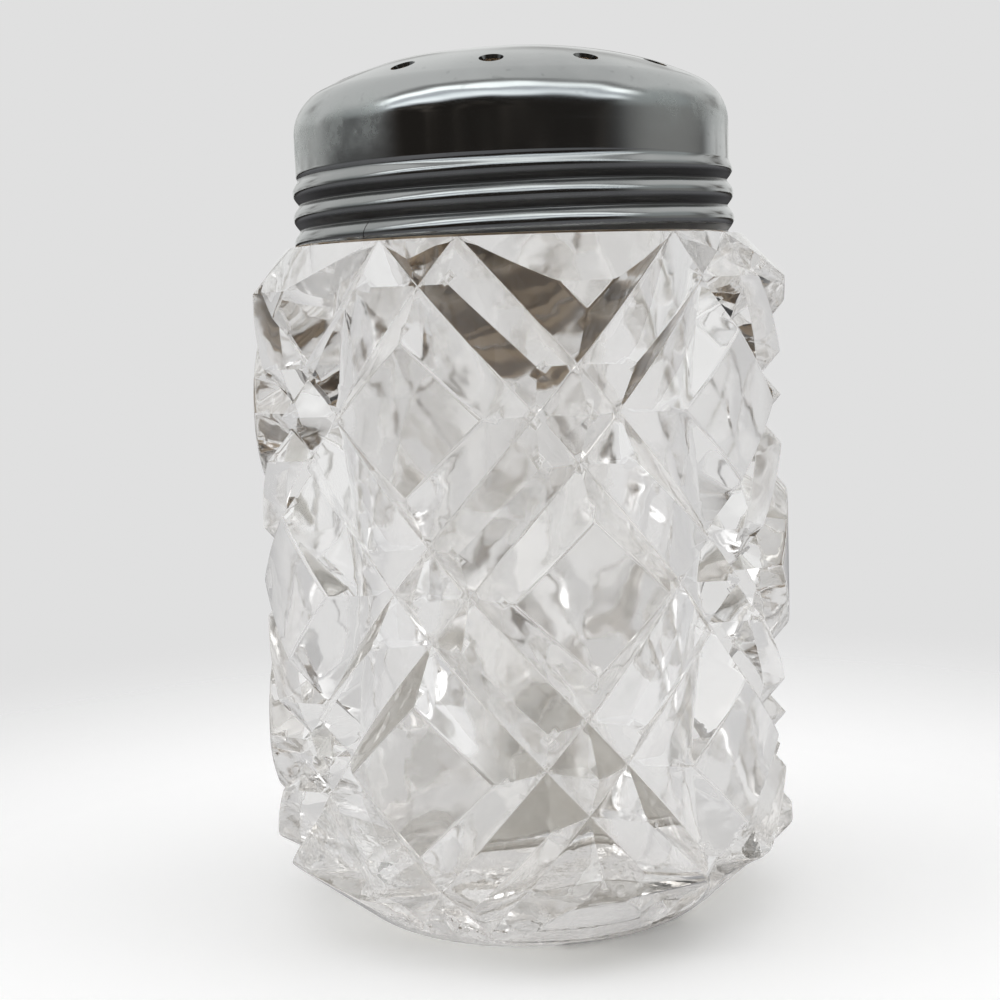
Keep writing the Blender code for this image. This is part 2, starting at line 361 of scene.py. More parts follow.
def turned(outline: Outline, segments: int, ripple: Ripple | None = None) -> bmesh.types.BMesh:
    """Turn an outline about Z, joining its ends where they are off the axis.

    Args:
        outline: points (radius, height).
        segments: how many steps go round.
        ripple: what to add to the radius at a turn in radians and a height.

    Returns:
        The turned surface.
    """
    mesh_data = bmesh.new()
    rings = []
    for radius, height in outline:
        if radius <= 0.0:
            rings.append([mesh_data.verts.new((0.0, 0.0, height))] * segments)
            continue
        ring = []
        for step in range(segments):
            turn = 2.0 * math.pi * step / segments - math.pi
            reach = radius + (ripple(turn, height) if ripple else 0.0)
            ring.append(mesh_data.verts.new((reach * math.sin(turn), -reach * math.cos(turn), height)))
        rings.append(ring)
    if outline[0][0] > 0.0:
        rings.append(rings[0])
    for upper, lower in zip(rings, rings[1:]):
        for step in range(segments):
            after = (step + 1) % segments
            corners = [upper[step], upper[after], lower[after], lower[step]]
            mesh_data.faces.new(list(dict.fromkeys(corners)))
    return mesh_data


def shade(obj: bpy.types.Object, sharp_angle: float) -> None:
    """Smooth an object's faces, keeping flats flat.

    Args:
        obj: the object.
        sharp_angle: the angle in degrees past which an edge stays sharp.
    """
    obj.data.shade_smooth()
    obj.data.set_sharp_from_angle(angle=math.radians(sharp_angle))
    weighted = obj.modifiers.new("flats", "WEIGHTED_NORMAL")
    weighted.weight = 100
    weighted.keep_sharp = True
    settle(obj)


def stand_for(obj: bpy.types.Object, node: str, body: Body) -> None:
    """Let a piece stand for a solid, which is hidden, and ride on its body.

    Args:
        obj: the piece.
        node: the solid's name.
        body: the body that it rides on.
    """
    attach(obj, body.value)
    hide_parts(node)
    LOG.info("%s: %d faces on %s", obj.name, len(obj.data.polygons), body.value)


@dataclass(frozen=True)
class Clouds:
    """Soft patches: how many to a metre, how fine, the noise where they start and are whole, and a seed."""

    scale: float
    detail: float
    low: float
    high: float
    seed: float


@dataclass(frozen=True)
class Scratches:
    """Fine lines: how many to a metre along and across, and the noise where they start and are whole."""

    along: float
    across: float
    low: float
    high: float


class Effects:
    """Node groups that more than one finish may use."""

    scratch_detail: float = 3.0

    def __init__(self) -> None:
        """Build each group once."""
        self.clouds = self._clouds()
        self.scratches = self._scratches()

    @staticmethod
    def _group(name: str, sizes: Sequence[str]) -> Graph:
        """Start a shader group with number inputs and a mask output.

        Args:
            name: the group's name.
            sizes: the names of its inputs.

        Returns:
            The group, being wired.
        """
        tree = bpy.data.node_groups.new(name, "ShaderNodeTree")
        for size in sizes:
            tree.interface.new_socket(size, in_out="INPUT", socket_type="NodeSocketFloat")
        tree.interface.new_socket("Mask", in_out="OUTPUT", socket_type="NodeSocketFloat")
        return Graph(tree)

    def _clouds(self) -> bpy.types.NodeTree:
        """Build a group of soft patches, for haze, tarnish, stains and uneven glass.

        Returns:
            The group.
        """
        group = self._group("soft_clouds", ["Scale", "Detail", "Low", "High", "Seed"])
        given = group.add("NodeGroupInput").outputs
        place = group.add("ShaderNodeTexCoord").outputs["Object"]
        noise = group.noise(place, given["Seed"], given["Scale"], given["Detail"])
        group.add("NodeGroupOutput", {"Mask": group.ramp(noise, given["Low"], given["High"])})
        return group.tree

    def _scratches(self) -> bpy.types.NodeTree:
        """Build a group of fine lines around the axis, left by turning and rubbing.

        Returns:
            The group.
        """
        group = self._group("fine_scratches", ["Along", "Across", "Low", "High"])
        given = group.add("NodeGroupInput").outputs
        x, y, z = group.split(group.add("ShaderNodeTexCoord").outputs["Object"])
        around = group.vector(
            group.product(x, given["Along"]),
            group.product(y, given["Along"]),
            group.product(z, given["Across"]),
        )
        inputs = {"Vector": around, "Scale": 1.0, "Detail": self.scratch_detail}
        noise = group.add("ShaderNodeTexNoise", inputs).outputs[0]
        group.add("NodeGroupOutput", {"Mask": group.ramp(noise, given["Low"], given["High"])})
        return group.tree


class Finish:
    """A material being wired around one Principled shader."""

    def __init__(self, name: str, effects: Effects | None = None) -> None:
        """Start a material with its shader and output.

        Args:
            name: the material's name.
            effects: the shared node groups, where it uses them.
        """
        self.effects = effects
        self.material = bpy.data.materials.new(name)
        self.material.use_nodes = True
        self.graph = Graph(self.material.node_tree)
        self.shader = self.material.node_tree.nodes["Principled BSDF"]
        self.output = self.material.node_tree.nodes["Material Output"]

    def _mask(self, group: bpy.types.NodeTree, sizes: Mapping[str, float]) -> Socket:
        """Place a shared group with its own sizes and return its mask."""
        return self.graph.add("ShaderNodeGroup", sizes, node_tree=group).outputs["Mask"]

    def clouds(self, patches: Clouds) -> Socket:
        """Return where soft patches lie.

        Args:
            patches: how they lie.

        Returns:
            Their mask.
        """
        sizes = {
            "Scale": patches.scale,
            "Detail": patches.detail,
            "Low": patches.low,
            "High": patches.high,
            "Seed": patches.seed,
        }
        return self._mask(self.effects.clouds, sizes)

    def scratches(self, lines: Scratches) -> Socket:
        """Return where fine lines lie."""
        sizes = {"Along": lines.along, "Across": lines.across, "Low": lines.low, "High": lines.high}
        return self._mask(self.effects.scratches, sizes)

    def place(self) -> Socket:
        """Return where each point of the piece is."""
        return self.graph.add("ShaderNodeTexCoord").outputs["Object"]

    def dress(self, **inputs: Value) -> None:
        """Feed the shader's inputs, named with _ for a space."""
        for name, value in inputs.items():
            self.graph.feed(self.shader.inputs[name.replace("_", " ")], value)

    def bump(self, height: Value, strength: float, distance: float) -> Socket:
        """Return a normal raised by a height.

        Args:
            height: what is raised, from 0 to 1.
            strength: how much of the effect shows.
            distance: how far 1 is raised.

        Returns:
            The normal.
        """
        inputs = {"Height": height, "Strength": strength, "Distance": distance}
        return self.graph.add("ShaderNodeBump", inputs).outputs[0]


@dataclass(frozen=True)
class ClearGlass:
    """Old pressed glass: clear, a little uneven and hazed by use, with a dusty, crinkled hollow."""

    clear: Colour = (0.995, 0.991, 0.984, 1.0)
    smoky: Colour = (0.973, 0.965, 0.953, 1.0)
    smoke: Clouds = Clouds(45.0, 2.0, 0.35, 0.7, 1.0)
    thick: Colour = (0.932, 0.918, 0.898, 1.0)
    thick_below: Span = (0.006, 0.022)
    shadow: Colour = (0.9, 0.9, 0.89, 1.0)
    index: float = 1.5
    haze: float = 0.05
    haze_patches: Clouds = Clouds(220.0, 5.0, 0.55, 0.8, 2.0)
    dust: float = 0.11
    dust_share: float = 0.75
    dust_patches: Clouds = Clouds(110.0, 3.0, 0.35, 0.65, 10.0)
    dusty_radius: float = 0.0250
    dusty_height: float = 0.0086
    softness: float = 0.045
    waves: Clouds = Clouds(170.0, 1.5, 0.2, 0.8, 3.0)
    wave_height: float = 0.00025
    wave_strength: float = 0.08
    crinkle: float = 4.5
    crinkles: Clouds = Clouds(210.0, 1.3, 0.3, 0.7, 11.0)
    wrinkle: float = 2.2
    wrinkles: Clouds = Clouds(520.0, 2.0, 0.3, 0.7, 12.0)
    wrinkled_below: Span = (0.008, 0.016)

    def make(self, effects: Effects) -> bpy.types.Material:
        """Build the glass.

        Args:
            effects: the shared node groups.

        Returns:
            The material.
        """
        finish = Finish("clear_glass", effects)
        graph = finish.graph
        x, y, height = graph.split(finish.place())
        rays = graph.add("ShaderNodeLightPath").outputs
        inside = graph.product(
            graph.math("LESS_THAN", graph.distance(x, y), self.dusty_radius),
            graph.math("GREATER_THAN", height, self.dusty_height),
        )
        thick = graph.ramp(height, *self.thick_below, 1.0, 0.0)
        pure = graph.blend(finish.clouds(self.smoke), self.clear, self.smoky)
        patchy = graph.partly(finish.clouds(self.dust_patches), self.dust_share)
        dusty = graph.product(inside, patchy, self.dust)
        soft = graph.ramp(rays["Ray Depth"], 0.0, 1.0, 0.0, self.softness)
        hazed = finish.clouds(self.haze_patches)
        crinkled = graph.product(finish.clouds(self.crinkles), inside)
        uneven = graph.math("MULTIPLY_ADD", crinkled, self.crinkle, finish.clouds(self.waves))
        base = graph.ramp(height, *self.wrinkled_below, self.wrinkle, 0.0)
        uneven = graph.math("MULTIPLY_ADD", finish.clouds(self.wrinkles), base, uneven)
        finish.dress(
            Base_Color=graph.blend(thick, pure, self.thick),
            Roughness=graph.math("MULTIPLY_ADD", hazed, self.haze, graph.math("ADD", dusty, soft)),
            Metallic=0.0,
            IOR=self.index,
            Transmission_Weight=1.0,
            Normal=finish.bump(uneven, self.wave_strength, self.wave_height),
        )
        through = graph.add("ShaderNodeBsdfTransparent", {"Color": self.shadow}).outputs[0]
        shaders = {0: rays["Is Shadow Ray"], 1: finish.shader.outputs[0], 2: through}
        graph.feed(finish.output.inputs["Surface"], graph.add("ShaderNodeMixShader", shaders).outputs[0])
        return finish.material


@dataclass(frozen=True)
class TarnishedPlate:
    """Silver plate that has dulled, with hazy, scratched patches and dirt specks, and a dark colour in the
    thread's valleys and on its downward-facing flanks that is partly dirt and partly painted shade.
    """

    clean: Colour = (0.45, 0.46, 0.46, 1.0)
    dull: Colour = (0.36, 0.37, 0.37, 1.0)
    # dark colour of the dirt specks, the skirt's split and the painted shade in the thread's valleys and
    # under its flanks
    dirt_and_shade: Colour = (0.025, 0.023, 0.021, 1.0)
    patina: Colour = (0.46, 0.355, 0.24, 1.0)
    lime: Colour = (0.5, 0.53, 0.52, 1.0)
    polish: float = 0.085
    haze: float = 0.3
    patches: Clouds = Clouds(55.0, 5.0, 0.45, 0.7, 4.0)
    patch_haze: float = 0.25
    spots: Clouds = Clouds(900.0, 2.0, 0.62, 0.72, 5.0)
    spot_dirt: float = 0.12
    lines: Scratches = Scratches(70.0, 4200.0, 0.56, 0.8)
    line_haze: float = 0.06
    line_depth: float = 0.00003
    line_strength: float = 0.04
    dirt_haze: float = 0.25
    # painted shade, partly dirt: how dark the thread's valleys are, and how dark the flanks that lean
    # downwards are
    valley_dirt_and_shade: Span = (0.95, 0.15)
    painted_under_shade: float = 0.9
    under_lean: Span = (-0.55, -0.25)
    dirt_and_shade_fade: float = 0.001
    film: float = 0.45
    film_sides: Span = (0.0125, 0.0165)
    film_heights: tuple[float, float, float] = (0.0940, 0.0995, 0.1045)
    film_tilt: float = 0.06
    film_clouds: Clouds = Clouds(240.0, 2.0, 0.3, 0.65, 8.0)
    film_specks: Clouds = Clouds(1100.0, 2.0, 0.25, 0.75, 9.0)
    cloud_share: float = 0.85
    speck_share: float = 0.6
    split_turn: float = -39.0
    split_lean: float = 10.0
    split_height: float = 0.0031
    split_whole: float = 0.7
    split_width: float = 0.005
    inside_drop: float = 0.00315
    inside_fade: float = 0.002

    def _film(self, finish: Finish, place: Socket) -> Socket:
        """Find where a cloudy film lies: on both sides of the wall and its corner, higher on the right.

        Args:
            finish: the material being wired.
            place: each point's place.

        Returns:
            The film's mask.
        """
        graph = finish.graph
        x, _, z = graph.split(place)
        low, middle, high = self.film_heights
        tilted = graph.math("MULTIPLY_ADD", x, -self.film_tilt, z)
        levels = graph.product(graph.ramp(tilted, low, middle), graph.ramp(z, middle, high, 1.0, 0.0))
        sides = graph.ramp(graph.math("ABSOLUTE", x), *self.film_sides)
        speckled = graph.partly(finish.clouds(self.film_specks), self.speck_share)
        clouded = graph.product(finish.clouds(self.film_clouds), speckled)
        return graph.product(levels, sides, graph.partly(clouded, self.cloud_share))

    def _split(self, graph: Graph, place: Socket, skirt_height: float) -> Socket:
        """Find where the skirt has a short dark split, which leans as it rises.

        Args:
            graph: the material being wired.
            place: each point's place.
            skirt_height: the height of the skirt's edge.

        Returns:
            The split's mask.
        """
        x, y, z = graph.split(place)
        turn = graph.math("ARCTAN2", x, graph.product(y, -1.0))
        above = graph.math("SUBTRACT", z, skirt_height)
        leaning = graph.math("MULTIPLY_ADD", above, -self.split_lean, turn)
        away = graph.math("ABSOLUTE", graph.math("SUBTRACT", leaning, math.radians(self.split_turn)))
        thin = graph.ramp(away, 0.0, self.split_width, 1.0, 0.0)
        whole = self.split_whole * self.split_height
        return graph.product(thin, graph.ramp(above, whole, self.split_height, 1.0, 0.0))

    def make(
        self, effects: Effects, valley_radius: float, wall_radius: float, ribs_top: float, skirt_height: float
    ) -> bpy.types.Material:
        """Build the plate.

        Args:
            effects: the shared node groups.
            valley_radius: how far the thread's valleys are from the axis.
            wall_radius: how far the plain wall is from the axis.
            ribs_top: the height at which the thread ends.
            skirt_height: the height of the skirt's edge.

        Returns:
            The material.
        """
        finish = Finish("tarnished_plate", effects)
        graph = finish.graph
        patches = finish.clouds(self.patches)
        lines = finish.scratches(self.lines)
        place = finish.place()
        normal = graph.add("ShaderNodeTexCoord").outputs["Normal"]
        film = self._film(finish, place)
        x, y, z = graph.split(place)
        _, _, lean = graph.split(normal)
        # painted shade, partly dirt: darker in the thread's valleys and on faces that lean downwards, fading
        # out above the ribs
        ribbed = graph.ramp(z, ribs_top - self.dirt_and_shade_fade, ribs_top, 1.0, 0.0)
        valley_dirt_and_shade_mask = graph.ramp(graph.distance(x, y), valley_radius, wall_radius, *self.valley_dirt_and_shade)
        # painted shade: faces that lean downwards are darkened
        under = graph.ramp(lean, *self.under_lean, self.painted_under_shade, 0.0)
        grime_and_painted_shade = graph.product(graph.math("MAXIMUM", valley_dirt_and_shade_mask, under), ribbed)
        spots = graph.product(finish.clouds(self.spots), self.spot_dirt)
        marks = graph.math("MAXIMUM", self._split(graph, place, skirt_height), spots)
        dirt_and_shade = graph.math("MAXIMUM", grime_and_painted_shade, marks)
        from_middle = graph.vector(x, y, graph.math("SUBTRACT", z, skirt_height - self.inside_drop))
        facing = graph.add("ShaderNodeVectorMath", {0: normal, 1: from_middle}, operation="DOT_PRODUCT")
        inside = graph.ramp(facing.outputs["Value"], -self.inside_fade, self.inside_fade, 1.0, 0.0)
        worn = graph.blend(film, graph.blend(patches, self.clean, self.dull), self.lime)
        hazed = graph.math("MAXIMUM", film, graph.product(patches, self.patch_haze))
        rough = graph.math("MULTIPLY_ADD", hazed, self.haze, self.polish)
        rough = graph.math("MULTIPLY_ADD", lines, self.line_haze, rough)
        dulled = graph.math("MAXIMUM", dirt_and_shade, inside)
        finish.dress(
            # the dark colour here is dirt specks, the split and painted shade in the thread
            Base_Color=graph.blend(inside, graph.blend(dirt_and_shade, worn, self.dirt_and_shade), self.patina),
            Roughness=graph.math("MULTIPLY_ADD", dulled, self.dirt_haze, rough),
            Metallic=graph.math("SUBTRACT", 1.0, graph.product(film, self.film)),
            Normal=finish.bump(lines, self.line_strength, self.line_depth),
        )
        return finish.material


@dataclass(frozen=True)
class WaxedCard:
    """Waxed card, pale brown and fibrous, with darker wax stains."""

    pale: Colour = (0.62, 0.52, 0.38, 1.0)
    stain: Colour = (0.42, 0.32, 0.2, 1.0)
    stains: Clouds = Clouds(140.0, 4.0, 0.45, 0.7, 6.0)
    fibres: Clouds = Clouds(2600.0, 3.0, 0.3, 0.7, 7.0)
    fibre_height: float = 0.0001
    fibre_strength: float = 0.4
    roughness: float = 0.8
    wax_shine: float = 0.25

    def make(self, effects: Effects) -> bpy.types.Material:
        """Build the card.

        Args:
            effects: the shared node groups.

        Returns:
            The material.
        """
        finish = Finish("waxed_card", effects)
        graph = finish.graph
        stains = finish.clouds(self.stains)
        finish.dress(
            Base_Color=graph.blend(stains, self.pale, self.stain),
            Roughness=graph.math("MULTIPLY_ADD", stains, -self.wax_shine, self.roughness),
            Metallic=0.0,
            Normal=finish.bump(finish.clouds(self.fibres), self.fibre_strength, self.fibre_height),
        )
        return finish.material


@dataclass(frozen=True)
class Lattice:
    """Two families of crossing helical V-grooves, which leave lozenges, bars and small pyramids.

    The grooves are straight in a plane of two heights: one that rises with a turn and one that falls.
    """

    repeats: int = 5
    row_pitch: float = 0.0207
    row_height: float = 0.0443
    row_turn: float = -22.7
    narrow_share: float = 0.272
    groove_depth: float = 0.0053
    groove_half_width: float = 0.0041
    groove_radius: float = 0.0288
    groove_end: float = 0.0020
    base_rise: float = 0.0095
    foot_radius: float = 0.0222
    foot_round: float = 0.0009
    foot_shares: tuple[float, ...] = (0.0, 0.1, 0.3, 0.6, 1.0)
    crease_round: float = 0.0003
    crease_shares: tuple[float, ...] = (-2.0, -1.0, 0.0, 1.0, 2.0)
    edge_share: float = 0.045
    side_steps: int = 3
    flat_steps: int = 5

    @property
    def climb(self) -> float:
        """The height that a groove climbs in a turn of one radian."""
        return self.row_pitch * self.repeats / math.pi

    @property
    def narrow(self) -> float:
        """The height from a row's middle to its groove."""
        return self.narrow_share * self.row_pitch

    @property
    def rise(self) -> float:
        """The height from a groove's bottom to its upper edge."""
        return self.groove_half_width * math.hypot(1.0, self.climb / self.groove_radius)

    @property
    def body_radius(self) -> float:
        """The wall's radius on its flats."""
        return self.groove_radius + self.groove_depth

    def marks(self) -> list[float]:
        """Find the lines of one period, close together beside each edge so that it shades as a small round.

        Returns:
            The heights of the lines, in order.
        """
        edge = self.edge_share
        peak = self.narrow / self.rise
        slope = [0.0, edge]
        for step in range(1, self.side_steps):
            slope.append(peak * step / self.side_steps)
        slope += [peak - edge, peak]
        outer = slope + [peak + edge, 1.0 - edge, 1.0, 1.0 + edge]
        half = [self.narrow - share * self.rise for share in reversed(slope)]
        half += [self.narrow + share * self.rise for share in outer[1:]]
        start = half[-1]
        for step in range(1, self.flat_steps + 1):
            half.append(start + (self.row_pitch - start) * step / self.flat_steps)
        return half + [2.0 * self.row_pitch - mark for mark in reversed(half[1:-1])]

    def away(self, mark: float) -> float:
        """Return how far a line is from the nearest groove, in heights."""
        wrapped = (mark + self.row_pitch) % (2.0 * self.row_pitch) - self.row_pitch
        return abs(abs(wrapped) - self.narrow)

    def base_lines(self) -> list[float]:
        """Find the heights at which the net is divided so that the base turns in along clean lines.

        Returns:
            The heights.
        """
        heights = [self.foot_round * share for share in self.foot_shares]
        heights += [self.base_rise + self.crease_round * share for share in self.crease_shares]
        return heights + [self.groove_end, (self.groove_end + self.base_rise) / 2.0]

    def unrolled(self, low: float, high: float) -> bmesh.types.BMesh:
        """Build the wall's net in the plane of the two heights, closed where the wall closes round the jar.

        Args:
            low: the wall's lowest height, cut level.
            high: the wall's highest height.

        Returns:
            The net, in triangles split along the creases.
        """
        marks = self.marks()
        count = len(marks)
        around = self.repeats * count
        period = 2.0 * self.row_pitch
        mesh_data = bmesh.new()
        corners: dict[tuple[int, int], bmesh.types.BMVert] = {}

        def level(index: int) -> float:
            """Return the height of a line, counted on through the periods."""
            return period * (index // count) + marks[index % count]

        def deepens(index: int) -> bool:
            """Return whether the next line is farther from a groove."""
            return self.away(level(index + 1)) > self.away(level(index))

        def corner(across: int, along: int) -> bmesh.types.BMVert:
            """Return the point where two lines cross, the same one on each lap round the jar.

            Args:
                across: the number of its rising line.
                along: the number of its falling line.

            Returns:
                The point.
            """
            laps = across // around
            key = (across - laps * around, along + laps * around)
            if key not in corners:
                corners[key] = mesh_data.verts.new((level(key[0]), level(key[1]), 0.0))
            return corners[key]

        lowest = low - self.row_pitch
        span = math.ceil((high - lowest) / self.row_pitch) * count + around
        for across in range(around):
            for along in range(-span, span):
                levels = level(across) + level(across + 1) + level(along) + level(along + 1)
                if not lowest < self.row_height + levels / 4.0 < high:
                    continue
                square = [
                    corner(across, along),
                    corner(across + 1, along),
                    corner(across + 1, along + 1),
                    corner(across, along + 1),
                ]
                if deepens(across) != deepens(along):
                    square = square[1:] + square[:1]
                mesh_data.faces.new((square[0], square[1], square[2]))
                mesh_data.faces.new((square[0], square[2], square[3]))
        for height in [low, *self.base_lines()]:
            bmesh.ops.bisect_plane(
                mesh_data,
                geom=mesh_data.verts[:] + mesh_data.edges[:] + mesh_data.faces[:],
                plane_co=(height - self.row_height, height - self.row_height, 0.0),
                plane_no=(1.0, 1.0, 0.0),
                clear_inner=height == low,
            )
        bmesh.ops.triangulate(mesh_data, faces=mesh_data.faces)
        return mesh_data

    def sizes(self) -> dict[str, float]:
        """Gather the sizes by which the net is wrapped.

        Returns:
            The sizes, by the names of the tree's inputs.
        """
        return {
            "Row Pitch": self.row_pitch,
            "Row Height": self.row_height,
            "Row Turn": math.radians(self.row_turn),
            "Climb": self.climb,
            "Narrow": self.narrow,
            "Rise": self.rise,
            "Groove Radius": self.groove_radius,
            "Groove Depth": self.groove_depth,
            "Edge Round": 2.0 * self.edge_share,
            "Base Rise": self.base_rise,
            "Base Flare": (self.body_radius - self.foot_radius) / self.base_rise,
            "Crease Round": 2.0 * self.crease_round,
            "Groove End": self.groove_end,
            "Foot Round": self.foot_round,
        }

    def wrapping_tree(self) -> bpy.types.NodeTree:
        """Build the tree that wraps the net round the jar, sinks the grooves and draws in the base.

        Returns:
            The tree.
        """
        tree = GeometryTree("diamond_wall", list(self.sizes()))
        given = tree.given
        rising, falling, _ = tree.split(tree.place())
        period = tree.product(given["Row Pitch"], 2.0)
        shares = []
        for height in (rising, falling):
            shifted = tree.math("ADD", height, given["Row Pitch"])
            wrapped = tree.math("SUBTRACT", tree.math("FLOORED_MODULO", shifted, period), given["Row Pitch"])
            signed = tree.math("SUBTRACT", tree.math("ABSOLUTE", wrapped), given["Narrow"])
            share = tree.math("DIVIDE", signed, given["Rise"])
            shares.append(tree.math("SMOOTH_MAX", share, tree.product(share, -1.0), given["Edge Round"]))
        lower = tree.math("SMOOTH_MIN", *shares, given["Edge Round"])
        depth = tree.math("SMOOTH_MIN", lower, 1.0, given["Edge Round"])
        sunk = tree.product(tree.math("SUBTRACT", 1.0, depth), given["Groove Depth"])
        swing = tree.math("DIVIDE", tree.math("SUBTRACT", rising, falling), given["Climb"])
        turn = tree.math("MULTIPLY_ADD", swing, 0.5, given["Row Turn"])
        height = tree.math("MULTIPLY_ADD", tree.math("ADD", rising, falling), 0.5, given["Row Height"])
        drop = tree.math("SUBTRACT", given["Base Rise"], height)
        below = tree.math("SMOOTH_MAX", drop, 0.0, given["Crease Round"])
        body = tree.math("ADD", given["Groove Radius"], given["Groove Depth"])
        flared = tree.math("SUBTRACT", body, tree.product(below, given["Base Flare"]))
        run = tree.math("SUBTRACT", given["Base Rise"], given["Groove End"])
        left = tree.math("SUBTRACT", 1.0, tree.math("DIVIDE", below, run))
        sunk_left = tree.product(sunk, tree.math("MAXIMUM", left, 0.0))
        under = tree.math("DIVIDE", tree.math("SUBTRACT", given["Foot Round"], height), given["Foot Round"])
        tucked = tree.clamped(under)
        bow = tree.math("SQRT", tree.math("SUBTRACT", 1.0, tree.product(tucked, tucked)))
        tuck = tree.product(tree.math("SUBTRACT", 1.0, bow), given["Foot Round"])
        reach = tree.math("SUBTRACT", flared, tree.math("ADD", sunk_left, tuck))
        sideways = tree.product(reach, tree.math("SINE", turn))
        forwards = tree.product(reach, tree.math("COSINE", turn))
        place = tree.vector(sideways, tree.product(forwards, -1.0), height)
        inputs = {"Geometry": given["Geometry"], "Position": place}
        return tree.end(tree.add("GeometryNodeSetPosition", inputs).outputs[0])

    def build(self, low: float, high: float, material: bpy.types.Material) -> bpy.types.Object:
        """Build the wall as a closed solid that runs past both ends of the jar.

        Args:
            low: the solid's lowest height.
            high: the solid's highest height.
            material: the jar's finish.

        Returns:
            The solid.
        """
        wall = new_object("diamond_wall", self.unrolled(low, high))
        shape_by(wall, self.wrapping_tree(), self.sizes(), material)
        self._close_ends(wall)
        return wall

    def _close_ends(self, wall: bpy.types.Object) -> None:
        """Close the wall's open ends with fans to the axis, and turn its faces outwards.

        Args:
            wall: the wall, wrapped.
        """
        mesh_data = bmesh.new()
        mesh_data.from_mesh(wall.data)
        rims: dict[bool, list[bmesh.types.BMEdge]] = {True: [], False: []}
        for edge in mesh_data.edges:
            if edge.is_boundary:
                rims[edge.verts[0].co.z > self.row_height].append(edge)
        for rim in rims.values():
            height = sum(edge.verts[0].co.z for edge in rim) / len(rim)
            centre = mesh_data.verts.new((0.0, 0.0, height))
            for edge in rim:
                mesh_data.faces.new((edge.verts[0], edge.verts[1], centre))
        bmesh.ops.recalc_face_normals(mesh_data, faces=mesh_data.faces)
        mesh_data.to_mesh(wall.data)
        mesh_data.free()


@dataclass(frozen=True)
class Thread:
    """The right-handed screw thread that the lid's ribs and the neck's ridge share."""

    pitch: float = 0.00315
    crest_rise: float = 0.00733
    skirt_height: float = 0.0857
    rib: float = 0.00045
    ribs_height: float = 0.0092
    ribs_fade: float = 0.0015
    valley_round: float = 0.12
    ridge: float = 0.0006
    ridge_width: float = 0.0022
    ridge_crest: float = 0.0007
    ridge_start: float = -575.0
    ridge_turns: float = 1.75
    runout: float = 28.0

    @property
    def crest_height(self) -> float:
        """The height of the crest at the front."""
        return self.skirt_height + self.crest_rise

    @property
    def ribs_top(self) -> float:
        """The height at which the lid's ribs have faded out."""
        return self.skirt_height + self.ribs_height

    def crest_at(self, turn: float) -> float:
        """Return the crest's height at a turn in radians."""
        return self.crest_height + self.pitch * turn / (2.0 * math.pi)

    def ridge_at(self, turn: float, height: float) -> float:
        """Return how far the neck's ridge stands out, sinking into the neck at both ends.

        Args:
            turn: the turn in radians.
            height: the height.

        Returns:
            The ridge's height above the neck.
        """
        start = math.radians(self.ridge_start)
        length = 2.0 * math.pi * self.ridge_turns
        runout = math.radians(self.runout)
        flank = (self.ridge_width - self.ridge_crest) / 2.0
        run = (turn - start) % (2.0 * math.pi)
        share = 0.0
        while run < length:
            away = abs(height - self.crest_at(start + run))
            fade = min(1.0, run / runout, (length - run) / runout)
            share = max(share, fade * min(1.0, (self.ridge_width / 2.0 - away) / flank))
            run += 2.0 * math.pi
        return share * self.ridge

    def rib_sizes(self) -> dict[str, float]:
        """Gather the sizes by which the ribs are rolled.

        Returns:
            The sizes, by the names of the tree's inputs.
        """
        return {
            "Pitch": self.pitch,
            "Crest Height": self.crest_height,
            "Rib": self.rib,
            "Ribs Top": self.ribs_top,
            "Ribs Fade": self.ribs_fade,
            "Valley Round": self.valley_round,
        }

    def ribs_tree(self) -> bpy.types.NodeTree:
        """Build the tree that rolls ribs into a plain skirt, broad at their crests and narrow between them.

        Returns:
            The tree.
        """
        tree = GeometryTree("rolled_ribs", list(self.rib_sizes()))
        given = tree.given
        x, y, z = tree.split(tree.place())
        turn = tree.math("ARCTAN2", x, tree.product(y, -1.0))
        laps = tree.math("DIVIDE", turn, 2.0 * math.pi)
        above = tree.math("SUBTRACT", z, given["Crest Height"])
        phase = tree.math("SUBTRACT", tree.math("DIVIDE", above, given["Pitch"]), laps)
        swing = tree.math("COSINE", tree.product(phase, math.pi))
        rounded = tree.distance(swing, given["Valley Round"])
        wave = tree.math("MULTIPLY_ADD", rounded, 2.0, -1.0)
        left = tree.math("DIVIDE", tree.math("SUBTRACT", given["Ribs Top"], z), given["Ribs Fade"])
        push = tree.product(wave, given["Rib"], tree.clamped(left))
        share = tree.math("DIVIDE", push, tree.distance(x, y))
        return tree.end(tree.moved(tree.vector(tree.product(x, share), tree.product(y, share), 0.0)))


